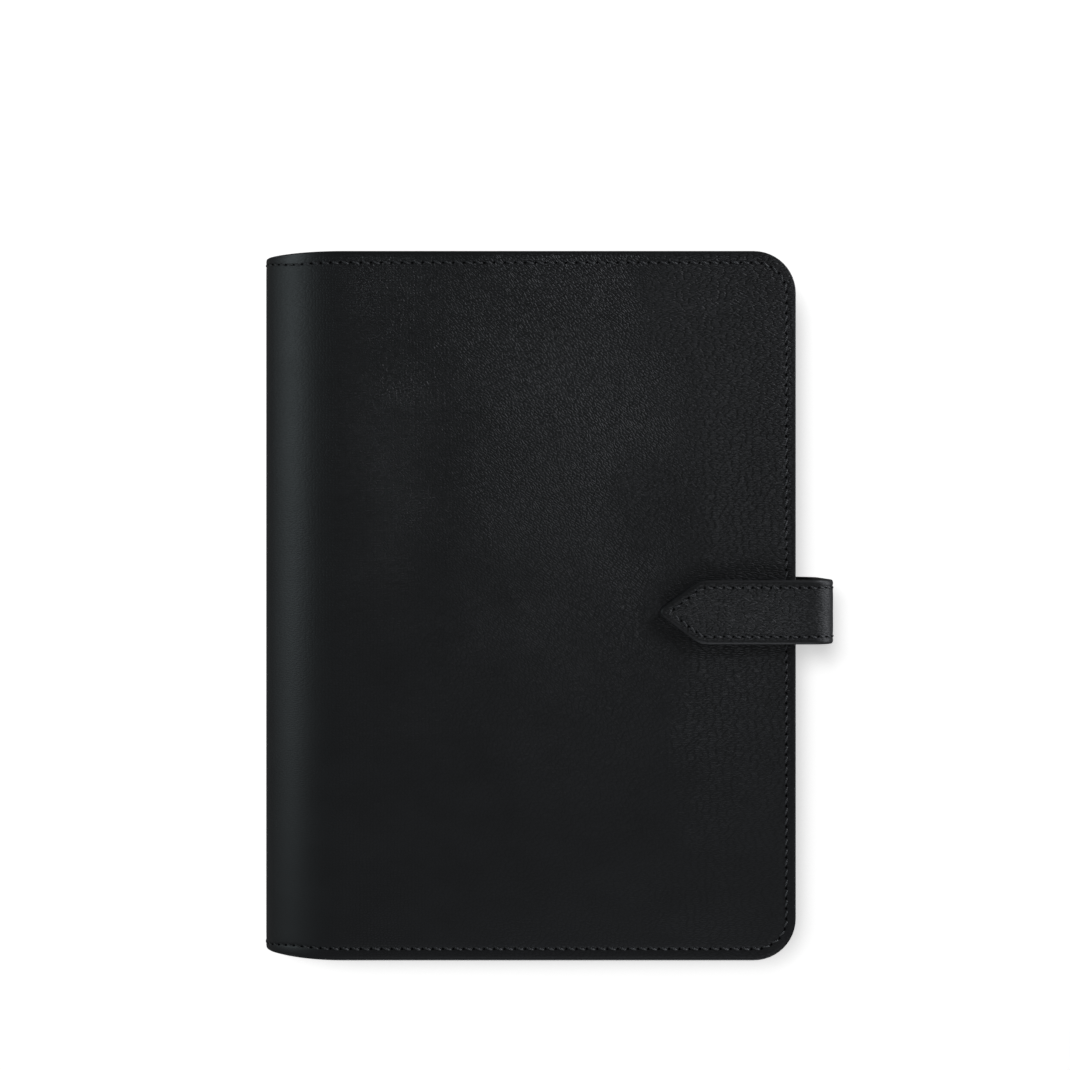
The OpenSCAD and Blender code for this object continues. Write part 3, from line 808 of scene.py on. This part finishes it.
# Section through the strap's edge: face, stitch groove, creased border, edge with its glue line, lining.
STRAP_ROWS = [
    (d * MM, z * MM)
    for d, z in (
        (10.3, -0.02), (8.5, -0.04), (6.5, -0.05), (4.8, -0.04), (3.6, 0.0), (3.1, 0.05), (2.82, 0.11),
        (2.6, 0.15), (2.38, 0.14), (2.1, 0.1), (1.7, 0.02), (1.3, -0.04), (1.0, -0.05), (0.85, -0.03),
        (0.68, 0.02), (0.45, 0.1), (0.22, 0.24), (0.06, 0.46), (0.0, 0.75), (0.0, 1.15), (0.03, 1.3),
        (0.12, 1.36), (0.03, 1.42), (0.0, 1.7), (0.05, 2.0), (0.2, 2.25), (0.5, 2.38), (1.0, 2.4),
        (2.2, 2.38), (2.6, 2.3), (3.0, 2.38), (10.3, 2.4),
    )
]


def strap_piece(name, s0, s1, pointed):
    """One length of the strap: rings of points from its face round the edge to its lining."""
    bm, rest = new_sheet()

    def place(s, v, depth, d):
        vert = bm.verts.new(strap_point(s, v, depth))
        vert[rest] = (STRAP_X - s, v, d)
        return vert

    rings = []
    for d, depth in STRAP_ROWS:
        half = strap_side_line(d, s0, s1, pointed)
        other = [(s, -v) for s, v in reversed(half)]
        if pointed:
            other = other[1:]
        rings.append([place(s, v, depth, d) for s, v in half + other])
    for a, b in zip(rings, rings[1:]):
        bridge(bm, a, b)
    for ring in (rings[0], rings[-1]):
        n = len(ring)
        for i in range(n // 2):
            face = list(dict.fromkeys([ring[i], ring[i + 1], ring[n - 2 - i], ring[n - 1 - i]]))
            if len(face) >= 3 and i + 1 <= n - 2 - i:
                bm.faces.new(face)
    ends = [(0, -1)]
    if not pointed:
        middle = len(rings[0]) // 2
        ends.append((middle - 1, middle))
    for one, other in ends:
        for a, b in zip(rings, rings[1:]):
            face = [a[one], b[one], b[other], a[other]]
            if bm.faces.get(face) is None:
                bm.faces.new(face)
    return finish_mesh(name, bm, STRAP_LEATHER)


def strap_thread(name, s0, s1, pointed):
    """The stitches and needle holes on the face of one length of the strap."""
    half = strap_side_line(STRAP_STITCH_IN, s0, s1, pointed)
    bm = bmesh.new()
    if pointed:
        lines = [half + [(s, -v) for s, v in reversed(half)][1:]]
    else:
        lines = [half, [(s, -v) for s, v in half]]
    for line in lines:
        frames = surface_frames(line, strap_point, STRAP_PITCH, depth=0.12 * MM, seed=5)
        thread_mesh(bm, frames, STRAP_STITCH, -STITCH_LEAN)
        needle_holes(bm, frames, STRAP_PITCH, radius=0.32 * MM, lift=0.16 * MM)
    thread = finish_mesh(name, bm, THREAD)
    thread.data.materials.append(HOLE_SHADE)
    return thread


strap_low = strap_piece("strap_lower", 0.0, S_SPLIT, False)
strap_high = strap_piece("strap_upper", S_SPLIT, S_TIP, True)
thread_low = strap_thread("strap_lower_thread", 4 * MM, S_SPLIT, False)
thread_high = strap_thread("strap_upper_thread", S_SPLIT, S_TIP, True)

for piece in (strap_low, thread_low):
    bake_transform(piece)
for piece in (strap_high, thread_high):
    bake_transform(piece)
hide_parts("strap_anchor", "strap_riser_leather", "strap_riser_lining")
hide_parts("strap_riser_stitching")
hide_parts("strap_tongue_leather", "strap_tongue_lining")
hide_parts("strap_tongue_stitching")

# --- pockets ----------------------------------------------------------------------

POCKET_SHEET = 0.9 * MM
POCKET_SEAM = 2.0 * MM
POCKET_CORNER = 3.0 * MM
POCKET_EDGE = 0.45 * MM
POCKET_RISE = 7 * MM
SEAM_DIP = 0.22 * MM
SEAM_WIDTH = 0.55 * MM
HEM = 0.4 * MM
PLAIN_LEAN = math.radians(12)


def pocket(name, node, body, inward, open_side):
    """A stitched patch pocket: its sheet dips to the backing on three sides and stands open on one."""
    lo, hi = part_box(node)
    base = hi.z if inward < 0 else lo.z
    gap = hi.z - lo.z - POCKET_SHEET
    seam = POCKET_SEAM
    r = POCKET_CORNER

    def height(x, y):
        far = {"x0": x - lo.x, "x1": hi.x - x, "y0": y - lo.y, "y1": hi.y - y}
        far.pop(open_side)
        near = min(far.values())
        dip = SEAM_DIP * math.exp(-(((near - seam) / SEAM_WIDTH) ** 2))
        return gap * smooth((near - seam) / POCKET_RISE) - dip

    def axis(a, b):
        """Grid lines from a to b, closer together at both ends."""
        edge = [0, 0.12, 0.4, 0.9, 1.5, 2.0, 2.5, 3.2, 4.5, 6.5, 9]
        low = [a + e * MM for e in edge]
        high = [b - e * MM for e in reversed(edge)]
        return low + steps(low[-1], high[0], 3 * MM)[1:-1] + high

    xs, ys = axis(lo.x, hi.x), axis(lo.y, hi.y)
    bm = bmesh.new()

    def rounded(x, y):
        """Pulls the outline's corners in to a small radius."""
        cx = min(max(x, lo.x + r), hi.x - r)
        cy = min(max(y, lo.y + r), hi.y - r)
        dx, dy = x - cx, y - cy
        if dx == 0 or dy == 0:
            return x, y
        big, length = max(abs(dx), abs(dy)), math.hypot(dx, dy)
        return cx + dx * big / length, cy + dy * big / length

    def layer(thick):
        """The sheet's outer face (thick = its thickness) or inner face (0), with its edge rounded."""
        rows = []
        for x in xs:
            row = []
            for y in ys:
                px, py = rounded(x, y)
                border = min(x - lo.x, hi.x - x, y - lo.y, hi.y - y)
                ease = math.sqrt(max(0.0, 1 - (1 - min(1.0, border / POCKET_EDGE)) ** 2))
                t = POCKET_SHEET / 2 + (thick - POCKET_SHEET / 2) * ease
                row.append(bm.verts.new((px, py, base + inward * (height(x, y) + t))))
            rows.append(row)
        return rows

    top, low = layer(POCKET_SHEET), layer(0.0)
    for grid in (top, low):
        for a, b in zip(grid, grid[1:]):
            bridge(bm, a, b)

    def border_of(grid):
        return ([row[0] for row in grid] + grid[-1][1:] + [row[-1] for row in reversed(grid)][1:]
                + list(reversed(grid[0]))[1:-1])

    bridge(bm, border_of(top), border_of(low), closed=True)
    sheet = finish_mesh(name, bm, POCKET)

    def place(x, y, depth):
        return Vector((x, y, base + inward * (height(x, y) + POCKET_SHEET - depth)))

    x0, x1, y0, y1 = lo.x + seam, hi.x - seam, lo.y + seam, hi.y - seam
    if open_side == "y1":
        line = [(x0, hi.y - HEM), (x0, y0), (x1, y0), (x1, hi.y - HEM)]
    else:
        line = [(lo.x + HEM, y0), (x1, y0), (x1, y1), (lo.x + HEM, y1)]
    bm = bmesh.new()
    frames = surface_frames(line, place, POCKET_PITCH, depth=0.02 * MM, seed=7)
    thread_mesh(bm, frames, POCKET_STITCH, PLAIN_LEAN)
    seam_thread = finish_mesh(f"{name}_thread", bm, THREAD)
    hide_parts(node)
    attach(sheet, body)
    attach(seam_thread, body)


pocket("front_slip_patch", "front_slip_pocket", "front_cover", -1, "x0")
pocket("card_patch_back", "card_pocket_back", "front_cover", -1, "y1")
pocket("card_patch_middle", "card_pocket_middle", "front_cover", -1, "y1")
pocket("card_patch_front", "card_pocket_front", "front_cover", -1, "y1")
pocket("back_slip_patch", "back_slip_pocket", "back_cover", 1, "y1")

# --- pen loop ---------------------------------------------------------------------

LOOP_STEPS = 56
LOOP_EDGE_STEPS = 8
LOOP_WALL = 1.3 * MM
LOOP_STITCH_IN = 1.5 * MM


def pen_loop():
    """A strip of leather wrapped into a loop on a flat base that is stitched to the lining."""
    lo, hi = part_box("pen_loop")
    half_wall = LOOP_WALL / 2
    radius = (hi.x - lo.x) / 2 - half_wall
    cx, cz = (lo.x + hi.x) / 2, hi.z - (hi.x - lo.x) / 2
    cy = (hi.y + lo.y) / 2
    end_y = hi.y - half_wall
    profile = []
    for k in range(LOOP_EDGE_STEPS + 1):
        a = math.pi / 2 - math.pi * k / LOOP_EDGE_STEPS
        profile.append((end_y + half_wall * math.cos(a), half_wall * math.sin(a)))
    profile += [(2 * cy - y, -h) for y, h in profile]
    bm = bmesh.new()
    rings = []
    for i in range(LOOP_STEPS):
        a = 2 * math.pi * i / LOOP_STEPS - math.pi / 2
        out = Vector((math.cos(a), 0, math.sin(a)))
        centre = Vector((cx, 0, cz)) + out * radius
        rings.append([bm.verts.new(centre + Vector((0, y, 0)) + out * h) for y, h in profile])
    for a, b in zip(rings, rings[1:] + rings[:1]):
        bridge(bm, a, b, closed=True)
    tab = []
    for rise, inset in ((0.0, 0.3), (0.35, 0.05), (0.8, 0.0), (1.15, 0.12), (1.3, 0.45)):
        q, z = inset * MM, lo.z + rise * MM
        x0, x1, y0, y1 = lo.x + q, hi.x - q, lo.y + q, hi.y - q
        tab.append([bm.verts.new(c) for c in ((x0, y0, z), (x1, y0, z), (x1, y1, z), (x0, y1, z))])
    for a, b in zip(tab, tab[1:]):
        bridge(bm, a, b, closed=True)
    bm.faces.new(tab[0])
    bm.faces.new(tab[-1])
    loop = finish_mesh("pen_loop_strip", bm, STRAP_LEATHER, 40)

    def place(x, y, depth):
        return Vector((x, y, lo.z + LOOP_WALL - depth))

    bm = bmesh.new()
    for x in (lo.x + LOOP_STITCH_IN, hi.x - LOOP_STITCH_IN):
        line = [(x, lo.y + LOOP_STITCH_IN), (x, hi.y - LOOP_STITCH_IN)]
        frames = surface_frames(line, place, POCKET_PITCH, depth=0.0, seed=3)
        thread_mesh(bm, frames, LOOP_STITCH, PLAIN_LEAN)
    thread = finish_mesh("pen_loop_thread", bm, THREAD)
    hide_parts("pen_loop")
    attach(loop, "back_cover")
    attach(thread, "back_cover")


pen_loop()

# --- floor, light and camera --------------------------------------------------------

FLOOR = 30
FLOOR_Z = -0.4 * MM
floor_mesh = bpy.data.meshes.new("floor")
floor_corners = [(x * FLOOR, y * FLOOR, FLOOR_Z) for x, y in ((-1, -1), (1, -1), (1, 1), (-1, 1))]
floor_mesh.from_pydata(floor_corners, [], [(0, 1, 2, 3)])
floor = bpy.data.objects.new("floor", floor_mesh)
bpy.context.scene.collection.objects.link(floor)
g = Graph("floor_white")
g.shader.inputs["Base Color"].default_value = (0.93, 0.93, 0.93, 1)
g.shader.inputs["Roughness"].default_value = 0.9
g.shader.inputs["Specular IOR Level"].default_value = 0.1
g.shader.inputs["Emission Color"].default_value = (1, 1, 1, 1)
g.shader.inputs["Emission Strength"].default_value = 0.5
floor_mesh.materials.append(g.material)
floor.visible_glossy = False


def area_light(name, place, target, size, power, colour=(1, 1, 1)):
    """A rectangular lamp at place that shines at target."""
    data = bpy.data.lights.new(name, "AREA")
    data.shape = "RECTANGLE"
    data.size, data.size_y = size
    data.energy = power
    data.color = colour
    obj = bpy.data.objects.new(name, data)
    obj.location = place
    obj.rotation_euler = (Vector(target) - Vector(place)).to_track_quat("-Z", "Y").to_euler()
    bpy.context.scene.collection.objects.link(obj)
    return obj


# The table lamp lights the floor alone and casts the shadow; the others light everything but the floor.
COOL = (0.91, 0.94, 1.0)
CYAN = (0.82, 0.96, 1.0)
table_lamp = area_light("table_soft", (-0.2, 0.24, 1.3), (-0.02, 0, 0), (0.3, 0.3), 9)
cover_lamps = [
    area_light("right_high", (1.0, 0.95, 0.6), (0, 0, 0.02), (0.6, 0.4), 12, COOL),
    area_light("left_low", (-1.3, 0.3, 0.52), (-0.05, 0, 0.02), (1.1, 0.35), 6, CYAN),
    area_light("right_low", (1.35, 0.1, 0.22), (0, 0, 0.02), (0.9, 0.35), 9, COOL),
    area_light("foot_fill", (0.1, -1.35, 0.6), (0, 0, 0.02), (0.9, 0.6), 9, (0.9, 0.94, 1.0)),
]
for lamps, state in (([table_lamp], "INCLUDE"), (cover_lamps, "EXCLUDE")):
    lit = bpy.data.collections.new(f"table_{state.lower()}d")
    lit.objects.link(floor)
    lit.collection_objects[0].light_linking.link_state = state
    for lamp in lamps:
        lamp.light_linking.receiver_collection = lit

world = bpy.data.worlds.new("studio")
world.use_nodes = True
world.node_tree.nodes["Background"].inputs["Color"].default_value = (1, 1, 1, 1)
world.node_tree.nodes["Background"].inputs["Strength"].default_value = 0.14
bpy.context.scene.world = world
bpy.context.scene.view_settings.view_transform = "Standard"

CAMERA_HEIGHT = 520 * MM
CAMERA_X = X_LEFT + 92.1 * MM
CAMERA_Y = 23.4 * MM
camera_data = bpy.data.cameras.new("camera")
camera_data.sensor_width = 36
camera_data.lens = 52.9
camera = bpy.data.objects.new("camera", camera_data)
camera.location = (CAMERA_X, CAMERA_Y, THICK + CAMERA_HEIGHT)
bpy.context.scene.collection.objects.link(camera)
bpy.context.scene.camera = camera
